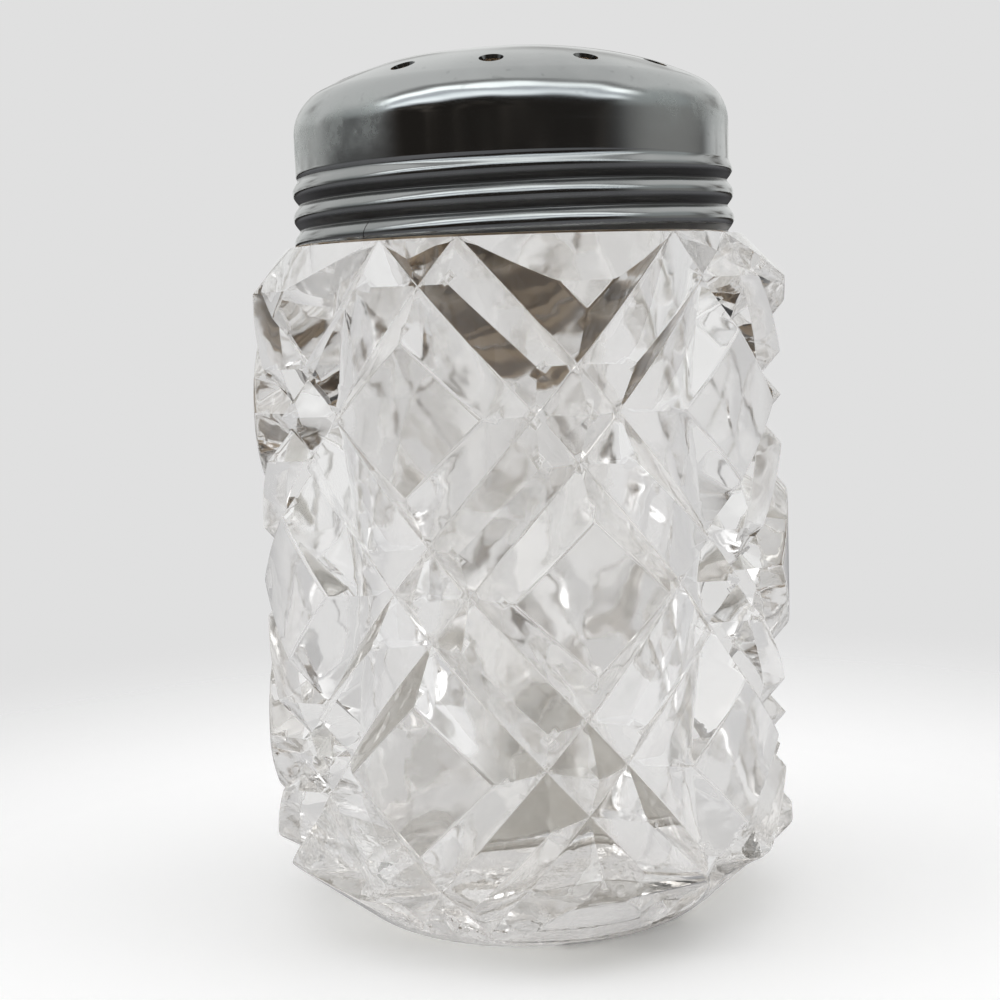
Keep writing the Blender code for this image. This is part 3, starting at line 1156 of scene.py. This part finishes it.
@dataclass(frozen=True)
class GlassJar:
    """The pressed glass jar: cut wall, flared base, foot ring, shoulder, threaded neck and hollow."""

    lattice: Lattice = field(default_factory=Lattice)
    thread: Thread = field(default_factory=Thread)
    shoulder_height: float = 0.0854
    shoulder_drop: float = 0.0054
    shoulder_top_radius: float = 0.0290
    spare_rows: float = 1.5
    foot_width: float = 0.0050
    foot_recess: float = 0.0008
    neck_radius: float = 0.02625
    neck_wall: float = 0.00365
    neck_root: float = 0.0020
    neck_rows: int = 48
    lip_round: float = 0.0012
    lip_steps: int = 6
    flare_angle: float = 30.0
    flare_steps: int = 4
    hollow_taper: float = 0.0012
    hollow_rows: int = 60
    floor_thickness: float = 0.0090
    floor_fillet: float = 0.0035
    floor_steps: int = 8
    ripple_height: float = 0.0004
    ripple_scale: float = 105.0
    ripple_detail: float = 1.0
    ripple_seed: float = 3.0
    ripple_fade: float = 0.012
    segments: int = 192
    sharp_angle: float = 35.0

    @property
    def lip_height(self) -> float:
        """The height of the lip, from the solid."""
        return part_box("glass_jar")[1][2]

    @property
    def mouth_radius(self) -> float:
        """The mouth's inner radius."""
        return self.neck_radius - self.neck_wall

    def _body(self) -> bpy.types.Object:
        """Build the turned body that trims the cut wall: clear of it round the side, with the recessed foot.

        Returns:
            The body.
        """
        spare = self.lattice.groove_depth
        wall = self.lattice.body_radius + spare
        shoulder_slope = self.shoulder_drop / (self.lattice.body_radius - self.shoulder_top_radius)
        recess = self.lattice.foot_radius - self.foot_width
        outline = [
            (0.0, self.foot_recess),
            (recess, self.foot_recess),
            (recess + self.foot_recess, 0.0),
            (wall, 0.0),
            (wall, self.shoulder_height - self.shoulder_drop - spare * shoulder_slope),
            (self.shoulder_top_radius, self.shoulder_height),
            (0.0, self.shoulder_height),
        ]
        return new_object("turned_body", turned(outline, self.segments))

    def _neck(self) -> bpy.types.Object:
        """Build the neck with its thread and rounded lip.

        Returns:
            The neck, which reaches down into the body.
        """
        root = self.shoulder_height - self.neck_root
        level = self.lip_height - self.lip_round
        outline = [(0.0, root), (self.neck_radius, root)]
        outline += rows_between(outline[-1], (self.neck_radius, level), self.neck_rows)[:-1]
        outline += arc((self.neck_radius - self.lip_round, level), self.lip_round, 90.0, 0.0, self.lip_steps)
        outline.append((0.0, self.lip_height))
        mesh_data = turned(outline, self.segments, self.thread.ridge_at)
        bmesh.ops.triangulate(mesh_data, faces=mesh_data.faces)
        return new_object("neck", mesh_data)

    def _hollow(self, material: bpy.types.Material) -> bpy.types.Object:
        """Build the tapered hollow, whose wall the plunger left a little wavy.

        Args:
            material: the glass.

        Returns:
            The hollow, as a solid.
        """
        floor_radius = self.mouth_radius - self.hollow_taper
        bottom = self.floor_thickness + self.floor_fillet
        lip = (self.mouth_radius + self.lip_round, self.lip_height - self.lip_round)
        flare = arc(lip, self.lip_round, -self.flare_angle, -90.0, self.flare_steps)
        slope = math.tan(math.radians(self.flare_angle))
        edge = (flare[0][0] + self.lip_round, flare[0][1] + self.lip_round * slope)
        middle = (floor_radius - self.floor_fillet, bottom)
        fillet = arc(middle, self.floor_fillet, 90.0, 180.0, self.floor_steps)
        outline = [(0.0, edge[1]), edge] + flare
        outline += rows_between(flare[-1], fillet[0], self.hollow_rows)[:-1]
        outline += fillet
        outline += rows_between(fillet[-1], (0.0, self.floor_thickness), self.floor_steps)
        hollow = new_object("hollow", turned(outline, self.segments))
        ripple = {
            "Height": self.ripple_height,
            "Scale": self.ripple_scale,
            "Detail": self.ripple_detail,
            "Seed": self.ripple_seed,
            "Top": self.shoulder_height,
            "Fade": self.ripple_fade,
        }
        shape_by(hollow, self.ripple_tree(list(ripple)), ripple, material)
        return hollow

    @staticmethod
    def ripple_tree(sizes: Sequence[str]) -> bpy.types.NodeTree:
        """Build the tree that leaves a pressed surface wavy, fading out towards the mouth.

        Args:
            sizes: the names of its inputs.

        Returns:
            The tree.
        """
        tree = GeometryTree("pressed_ripple", sizes)
        given = tree.given
        place = tree.place()
        _, _, z = tree.split(place)
        noise = tree.noise(place, given["Seed"], given["Scale"], given["Detail"])
        left = tree.math("DIVIDE", tree.math("SUBTRACT", given["Top"], z), given["Fade"])
        push = tree.product(tree.math("SUBTRACT", noise, 0.5), given["Height"], tree.clamped(left))
        normal = tree.add("GeometryNodeInputNormal").outputs[0]
        return tree.end(tree.moved(tree.scaled(normal, push)))

    def build(self, material: bpy.types.Material) -> bpy.types.Object:
        """Build the jar and let it stand for its solid.

        Args:
            material: the glass.

        Returns:
            The jar.
        """
        top = self.shoulder_height + self.spare_rows * self.lattice.row_pitch
        jar = self.lattice.build(-self.lattice.groove_end, top, material)
        jar.name = "pressed_glass_jar"
        hollow = self._hollow(material)
        work(jar, self._body(), Join.KEEP_COMMON)
        work(jar, self._neck(), Join.ADD)
        work(jar, hollow, Join.CUT)
        jar.data.materials.clear()
        jar.data.materials.append(material)
        shade(jar, self.sharp_angle)
        stand_for(jar, "glass_jar", Body.JAR)
        return jar


@dataclass(frozen=True)
class ScrewLid:
    """The stamped lid: pierced crown, rounded corner, plain wall and a thread rolled into the skirt."""

    thread: Thread = field(default_factory=Thread)
    radius: float = 0.0275
    height: float = 0.0237
    sheet: float = 0.00045
    crown_radius: float = 0.0800
    crown_spread: float = 0.0120
    crown_steps: int = 14
    haunch_radius: float = 0.0407
    corner_radius: float = 0.0057
    corner_steps: int = 16
    wall_rows: int = 4
    rib_rows: int = 96
    dent_height: float = 0.00025
    dent_scale: float = 75.0
    dent_detail: float = 1.0
    dent_seed: float = 2.0
    hole_radius: float = 0.00145
    hole_sides: int = 32
    hole_ring_radius: float = 0.02145
    hole_count: int = 12
    hole_turn: float = -5.3
    ring_shares: tuple[float, ...] = (1.0, 0.5)
    segments: int = 256
    sharp_angle: float = 40.0

    @property
    def apex(self) -> float:
        """The height of the crown's top."""
        return self.thread.skirt_height + self.height

    def _skin(self, inset: float) -> Outline:
        """Draw one face of the sheet.

        Args:
            inset: how far the face is moved inwards.

        Returns:
            Its outline from apex to skirt.
        """
        edge = math.asin(self.crown_spread / self.crown_radius)
        crown = (0.0, self.apex - self.crown_radius)
        reach = self.crown_radius - self.haunch_radius
        haunch = (reach * math.sin(edge), crown[1] + reach * math.cos(edge))
        reach = self.haunch_radius - self.corner_radius
        bend = math.asin((self.radius - self.corner_radius - haunch[0]) / reach)
        corner = (self.radius - self.corner_radius, haunch[1] + reach * math.cos(bend))
        edge, bend = math.degrees(edge), math.degrees(bend)
        skin = arc(crown, self.crown_radius - inset, 0.0, edge, self.crown_steps)
        skin += arc(haunch, self.haunch_radius - inset, edge, bend, self.crown_steps)[1:]
        skin += arc(corner, self.corner_radius - inset, bend, 90.0, self.corner_steps)[1:]
        top = (self.radius - inset, self.thread.ribs_top)
        skirt = (self.radius - inset, self.thread.skirt_height)
        skin += rows_between(skin[-1], top, self.wall_rows)
        skin += rows_between(top, skirt, self.rib_rows)
        return skin

    @staticmethod
    def dents_tree(sizes: Sequence[str]) -> bpy.types.NodeTree:
        """Build the tree that leaves the thin sheet a little uneven, both its faces alike.

        Args:
            sizes: the names of its inputs.

        Returns:
            The tree.
        """
        tree = GeometryTree("uneven_sheet", sizes)
        given = tree.given
        place = tree.place()
        x, y, z = tree.split(place)
        from_middle = tree.vector(x, y, tree.math("SUBTRACT", z, given["Middle Height"]))
        outwards = tree.add("ShaderNodeVectorMath", {0: from_middle}, operation="NORMALIZE").outputs[0]
        noise = tree.noise(place, given["Seed"], given["Scale"], given["Detail"])
        push = tree.product(tree.math("SUBTRACT", noise, 0.5), given["Height"])
        return tree.end(tree.moved(tree.scaled(outwards, push)))

    def piercing_tree(self, sizes: Sequence[str]) -> bpy.types.NodeTree:
        """Build the tree that pierces two rings of holes, one half as wide as the other, and a middle one.

        Args:
            sizes: the names of its inputs.

        Returns:
            The tree.
        """
        tree = GeometryTree("pierced_crown", sizes)
        given = tree.given
        turn = tree.vector(0.0, 0.0, given["Ring Turn"])
        lift = tree.vector(0.0, 0.0, given["Height"])
        places = tree.add("GeometryNodeJoinGeometry")
        for share in self.ring_shares:
            count = tree.product(given["Holes"], share)
            reach = tree.product(given["Ring Radius"], share)
            ring = tree.add("GeometryNodeMeshCircle", {"Vertices": count, "Radius": reach})
            turned_ring = tree.add("GeometryNodeTransform", {"Geometry": ring.outputs[0], "Rotation": turn})
            tree.feed(places.inputs[0], turned_ring.outputs[0])
        middle = tree.add("GeometryNodeMeshLine", {"Count": 1})
        tree.feed(places.inputs[0], middle.outputs[0])
        raised = tree.add("GeometryNodeTransform", {"Geometry": places.outputs[0], "Translation": lift})
        inputs = {"Vertices": self.hole_sides, "Radius": given["Hole Radius"], "Depth": given["Depth"]}
        punch = tree.add("GeometryNodeMeshCylinder", inputs)
        inputs = {"Points": raised.outputs[0], "Instance": punch.outputs[0]}
        punches = tree.add("GeometryNodeInstanceOnPoints", inputs)
        solid = tree.add("GeometryNodeRealizeInstances", {"Geometry": punches.outputs[0]})
        pierced = tree.add("GeometryNodeMeshBoolean", operation="DIFFERENCE", solver="EXACT")
        tree.feed(pierced.inputs["Mesh 1"], given["Geometry"])
        tree.feed(pierced.inputs["Mesh 2"], solid.outputs[0])
        return tree.end(pierced.outputs[0])

    def build(self, material: bpy.types.Material) -> bpy.types.Object:
        """Build the lid and let it stand for its solid.

        Args:
            material: the plate.

        Returns:
            The lid.
        """
        outline = self._skin(0.0) + self._skin(self.sheet)[::-1]
        lid = new_object("pierced_screw_lid", turned(outline, self.segments))
        dents = {
            "Height": self.dent_height,
            "Scale": self.dent_scale,
            "Detail": self.dent_detail,
            "Seed": self.dent_seed,
            "Middle Height": self.thread.skirt_height,
        }
        holes = {
            "Holes": self.hole_count,
            "Ring Radius": self.hole_ring_radius,
            "Ring Turn": math.radians(self.hole_turn - 90.0),
            "Hole Radius": self.hole_radius,
            "Height": self.apex,
            "Depth": self.height,
        }
        shape_by(lid, self.thread.ribs_tree(), self.thread.rib_sizes(), material)
        shape_by(lid, self.dents_tree(list(dents)), dents, material)
        shape_by(lid, self.piercing_tree(list(holes)), holes, material)
        shade(lid, self.sharp_angle)
        stand_for(lid, "screw_lid", Body.LID)
        return lid


@dataclass(frozen=True)
class SealWasher:
    """The flat card ring on the lip, with its cut edges a little rounded."""

    width: float = 0.00315
    edge_round: float = 0.0003
    edge_steps: int = 4
    segments: int = 128
    sharp_angle: float = 40.0

    def build(self, material: bpy.types.Material) -> bpy.types.Object:
        """Build the washer and let it stand for its solid.

        Args:
            material: the card.

        Returns:
            The washer.
        """
        low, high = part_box("seal_washer")
        outer = high[0] - self.edge_round
        inner = high[0] - self.width + self.edge_round
        bottom, top = low[2] + self.edge_round, high[2] - self.edge_round
        outline = []
        for quarter, centre in enumerate([(outer, top), (outer, bottom), (inner, bottom), (inner, top)]):
            first = 90.0 * quarter
            outline += arc(centre, self.edge_round, first, first + 90.0, self.edge_steps)
        washer = new_object("card_washer", turned(outline, self.segments))
        washer.data.materials.append(material)
        shade(washer, self.sharp_angle)
        stand_for(washer, "seal_washer", Body.WASHER)
        return washer


@dataclass(frozen=True)
class Viewpoint:
    """The photograph's viewing point, from the lattice's crossings and the outline."""

    image_side: int = 1000
    focal_pixels: float = 1748.0
    sensor: float = 36.0
    nearest: float = 0.005
    place: tuple[float, float, float] = (0.0, -0.22648, 0.07793)
    yaw: float = -0.75
    pitch: float = 6.46
    roll: float = -1.95

    def build(self) -> bpy.types.Object:
        """Place the camera and make it the scene's own.

        Returns:
            The camera.
        """
        yaw, pitch, roll = (math.radians(angle) for angle in (self.yaw, self.pitch, self.roll))
        ahead = Vector((math.sin(yaw) * math.cos(pitch), math.cos(yaw) * math.cos(pitch), -math.sin(pitch)))
        level = ahead.cross(Vector((0.0, 0.0, 1.0))).normalized()
        upright = level.cross(ahead)
        right = level * math.cos(roll) + upright * math.sin(roll)
        up = upright * math.cos(roll) - level * math.sin(roll)
        data = bpy.data.cameras.new("viewpoint")
        data.sensor_width = self.sensor
        data.lens = self.sensor * self.focal_pixels / self.image_side
        data.clip_start = self.nearest
        camera = bpy.data.objects.new("viewpoint", data)
        turn = Matrix((right, up, -ahead)).transposed().to_4x4()
        camera.matrix_world = Matrix.Translation(self.place) @ turn
        bpy.context.scene.collection.objects.link(camera)
        bpy.context.scene.camera = camera
        return camera


@dataclass(frozen=True)
class Strip:
    """A level strip of the room that the lid mirrors: how high it is seen, in degrees, and its light."""

    angle: float
    light: Colour


@dataclass(frozen=True)
class MirroredRoom:
    """What a polished surface mirrors: level strips from the dark front to the ceiling, between two sides.

    Spans are parts of a direction of length 1: across, in depth from front to back, or in height.
    """

    strips: tuple[Strip, ...] = (
        Strip(34.0, (0.026, 0.023, 0.02, 1.0)),
        Strip(38.0, (0.9, 0.95, 1.0, 1.0)),
        Strip(42.0, (2.0, 2.1, 2.15, 1.0)),
        Strip(48.0, (1.6, 1.7, 1.75, 1.0)),
        Strip(52.0, (0.8, 0.85, 0.9, 1.0)),
        Strip(58.0, (0.9, 0.95, 1.0, 1.0)),
        Strip(61.0, (2.3, 2.4, 2.4, 1.0)),
        Strip(68.0, (2.3, 2.4, 2.4, 1.0)),
        Strip(72.0, (0.6, 0.61, 0.6, 1.0)),
        Strip(76.0, (0.3, 0.3, 0.3, 1.0)),
        Strip(84.0, (0.88, 0.89, 0.88, 1.0)),
        Strip(120.0, (0.86, 0.87, 0.86, 1.0)),
    )
    wobble: float = 0.25
    wobble_scale: float = 2.5
    wobble_detail: float = 1.0
    dusk: Colour = (0.1, 0.088, 0.076, 1.0)
    dusk_scale: float = 5.0
    dusk_detail: float = 3.0
    dusk_noise: Span = (0.45, 0.75)
    dusk_height: Span = (0.3, 0.5)
    left_shade: Colour = (0.12, 0.12, 0.12, 1.0)
    right_shade: Colour = (0.34, 0.34, 0.33, 1.0)
    right_across: Span = (0.8, 1.0)
    side_glow: Colour = (0.48, 0.51, 0.51, 1.0)
    glow_height: Span = (0.12, 0.35)
    glow_depth: Span = (0.25, 0.45)
    side_wall: Colour = (0.44, 0.45, 0.45, 1.0)
    wall_depth: Span = (0.42, 0.56)
    side_across: Span = (0.78, 0.94)
    side_shift: float = 0.05
    floor: Colour = (0.22, 0.22, 0.23, 1.0)
    floor_height: Span = (-0.15, -0.05)

    def _levels(self, graph: Graph, angle: Value) -> Socket:
        """Return the light of the strips at an angle in radians above the front.

        Args:
            graph: the world being wired.
            angle: the angle.

        Returns:
            The colour.
        """
        levels = graph.add("ShaderNodeValToRGB", {0: graph.math("DIVIDE", angle, math.pi)})
        stops = levels.color_ramp.elements
        stops.remove(stops[1])
        for strip in self.strips:
            stops.new(strip.angle / 180.0).color = strip.light
        stops[0].color = self.strips[0].light
        return levels.outputs["Color"]

    def colour(self, graph: Graph, place: Socket) -> Socket:
        """Find the colour of the room in a direction.

        Args:
            graph: the world being wired.
            place: the direction.

        Returns:
            The colour.
        """
        x, y, z = graph.split(place)
        inputs = {"Vector": place, "Scale": self.wobble_scale, "Detail": self.wobble_detail}
        waves = graph.add("ShaderNodeTexNoise", inputs).outputs[0]
        uneven = graph.product(graph.math("SUBTRACT", waves, 0.5), self.wobble)
        angle = graph.math("ADD", graph.math("ARCTAN2", z, graph.product(y, -1.0)), uneven)
        inputs = {"Vector": place, "Scale": self.dusk_scale, "Detail": self.dusk_detail}
        mottling = graph.add("ShaderNodeTexNoise", inputs).outputs[0]
        low = graph.ramp(z, *self.dusk_height, 1.0, 0.0)
        dusk = graph.product(graph.ramp(mottling, *self.dusk_noise), low)
        middle = graph.blend(dusk, self._levels(graph, angle), self.dusk)
        side = graph.blend(graph.ramp(x, *self.right_across), self.left_shade, self.right_shade)
        raised = graph.ramp(graph.math("ADD", z, uneven), *self.glow_height)
        glow = graph.product(raised, graph.ramp(y, *self.glow_depth, 1.0, 0.0))
        side = graph.blend(glow, side, self.side_glow)
        side = graph.blend(graph.ramp(y, *self.wall_depth), side, self.side_wall)
        across = graph.math("ABSOLUTE", graph.math("ADD", x, self.side_shift))
        seen = graph.blend(graph.ramp(across, *self.side_across), middle, side)
        return graph.blend(graph.ramp(z, *self.floor_height, 1.0, 0.0), seen, self.floor)


@dataclass(frozen=True)
class Studio:
    """A white floor in a white room that is dark on the viewer's side.

    The room's spans are parts of a direction of length 1, in depth from front to back or in height.
    """

    floor_radius: float = 0.32
    floor_segments: int = 96
    floor_fade: Span = (0.06, 0.2)
    floor_white: Colour = (0.93, 0.93, 0.93, 1.0)
    floor_roughness: float = 0.7
    floor_gloss: float = 0.1
    floor_unlit: Colour = (0.0, 0.0, 0.0, 1.0)
    front_glow: Colour = (0.2, 0.2, 0.2, 1.0)
    back_glow: Colour = (0.11, 0.11, 0.11, 1.0)
    glow_depth: Span = (-0.08, 0.12)
    mirrored_floor: float = 0.25
    wall: Colour = (0.745, 0.745, 0.745, 1.0)
    side: Colour = (0.42, 0.42, 0.43, 1.0)
    side_start: Span = (0.35, 0.6)
    side_end: Span = (0.88, 0.97)
    side_height: Span = (0.45, 0.75)
    dark: Colour = (0.026, 0.023, 0.02, 1.0)
    dark_depth: Span = (-0.55, -0.25)
    dark_height: Span = (0.76, 0.82)
    through_share: float = 0.33
    mirrored_room: MirroredRoom = field(default_factory=MirroredRoom)
    lamp_power: float = 2.4
    lamp_size: tuple[float, float] = (1.2, 0.4)
    lamp_place: tuple[float, float, float] = (0.0, -0.04, 0.65)
    bounces: int = 32

    def build(self) -> None:
        """Lay the floor, set the lamp and the room's light, and let light find its way through the glass."""
        self._floor()
        self._lamp()
        self._room()
        scene = bpy.context.scene
        scene.view_settings.view_transform = "Standard"
        scene.cycles.max_bounces = self.bounces
        scene.cycles.glossy_bounces = self.bounces
        scene.cycles.transmission_bounces = self.bounces

    def _floor(self) -> None:
        """Lay a round floor, which keeps the shadow and fades into the room."""
        mesh_data = bmesh.new()
        bmesh.ops.create_circle(
            mesh_data, cap_ends=True, segments=self.floor_segments, radius=self.floor_radius
        )
        floor = new_object("white_floor", mesh_data)
        finish = Finish("white_floor")
        graph = finish.graph
        place = finish.place()
        _, y, _ = graph.split(place)
        reach = graph.add("ShaderNodeVectorMath", {0: place}, operation="LENGTH").outputs["Value"]
        seen = graph.add("ShaderNodeLightPath").outputs["Is Camera Ray"]
        glow = graph.blend(graph.ramp(y, *self.glow_depth), self.front_glow, self.back_glow)
        whole = graph.ramp(self._mirrored(graph), 0.0, 1.0, 1.0, self.mirrored_floor)
        finish.dress(
            Base_Color=self.floor_white,
            Roughness=self.floor_roughness,
            Specular_IOR_Level=self.floor_gloss,
            Alpha=graph.product(graph.ramp(reach, *self.floor_fade, 1.0, 0.0), whole),
            Emission_Color=graph.blend(seen, self.floor_unlit, glow),
            Emission_Strength=1.0,
        )
        floor.data.materials.append(finish.material)

    def _lamp(self) -> None:
        """Hang a soft lamp over the floor."""
        data = bpy.data.lights.new("overhead_lamp", "AREA")
        data.shape = "RECTANGLE"
        data.size, data.size_y = self.lamp_size
        data.energy = self.lamp_power
        lamp = bpy.data.objects.new("overhead_lamp", data)
        lamp.location = self.lamp_place
        lamp.visible_glossy = False
        bpy.context.scene.collection.objects.link(lamp)

    @staticmethod
    def _mirrored(graph: Graph) -> Socket:
        """Return 1 for light that a polished surface throws back and 0 for any other."""
        rays = graph.add("ShaderNodeLightPath").outputs
        return graph.product(rays["Is Glossy Ray"], graph.math("SUBTRACT", 1.0, rays["Is Transmission Ray"]))

    def _room(self) -> None:
        """Light the room: plain for the camera, darker for other rays, and in strips where it is mirrored."""
        world = bpy.data.worlds.new("white_room")
        world.use_nodes = True
        bpy.context.scene.world = world
        graph = Graph(world.node_tree)
        place = graph.add("ShaderNodeTexCoord").outputs["Generated"]
        _, y, z = graph.split(place)
        rays = graph.add("ShaderNodeLightPath").outputs
        unseen = graph.math("SUBTRACT", 1.0, rays["Is Camera Ray"])
        through = graph.ramp(rays["Is Transmission Ray"], 0.0, 1.0, 1.0, self.through_share)
        share = graph.product(unseen, through)
        side = graph.product(
            graph.ramp(y, *self.side_start),
            graph.ramp(y, *self.side_end, 1.0, 0.0),
            graph.ramp(z, *self.side_height, 1.0, 0.0),
        )
        front = graph.product(
            graph.ramp(y, *self.dark_depth, 1.0, 0.0), graph.ramp(z, *self.dark_height, 1.0, 0.0)
        )
        colour = graph.blend(graph.product(share, side), self.wall, self.side)
        colour = graph.blend(graph.product(share, front), colour, self.dark)
        colour = graph.blend(self._mirrored(graph), colour, self.mirrored_room.colour(graph, place))
        graph.feed(world.node_tree.nodes["Background"].inputs["Color"], colour)


def main() -> None:
    """Build the shaker and its studio, piece by piece."""
    logging.basicConfig(level=logging.INFO, format="%(message)s")
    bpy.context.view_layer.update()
    effects = Effects()
    thread = Thread()
    lid = ScrewLid(thread=thread)
    plate = TarnishedPlate()
    GlassJar(thread=thread).build(ClearGlass().make(effects))
    SealWasher().build(WaxedCard().make(effects))
    valley_radius = lid.radius - thread.rib
    lid.build(plate.make(effects, valley_radius, lid.radius, thread.ribs_top, thread.skirt_height))
    Viewpoint().build()
    Studio().build()


if __name__ == "__main__":
    main()
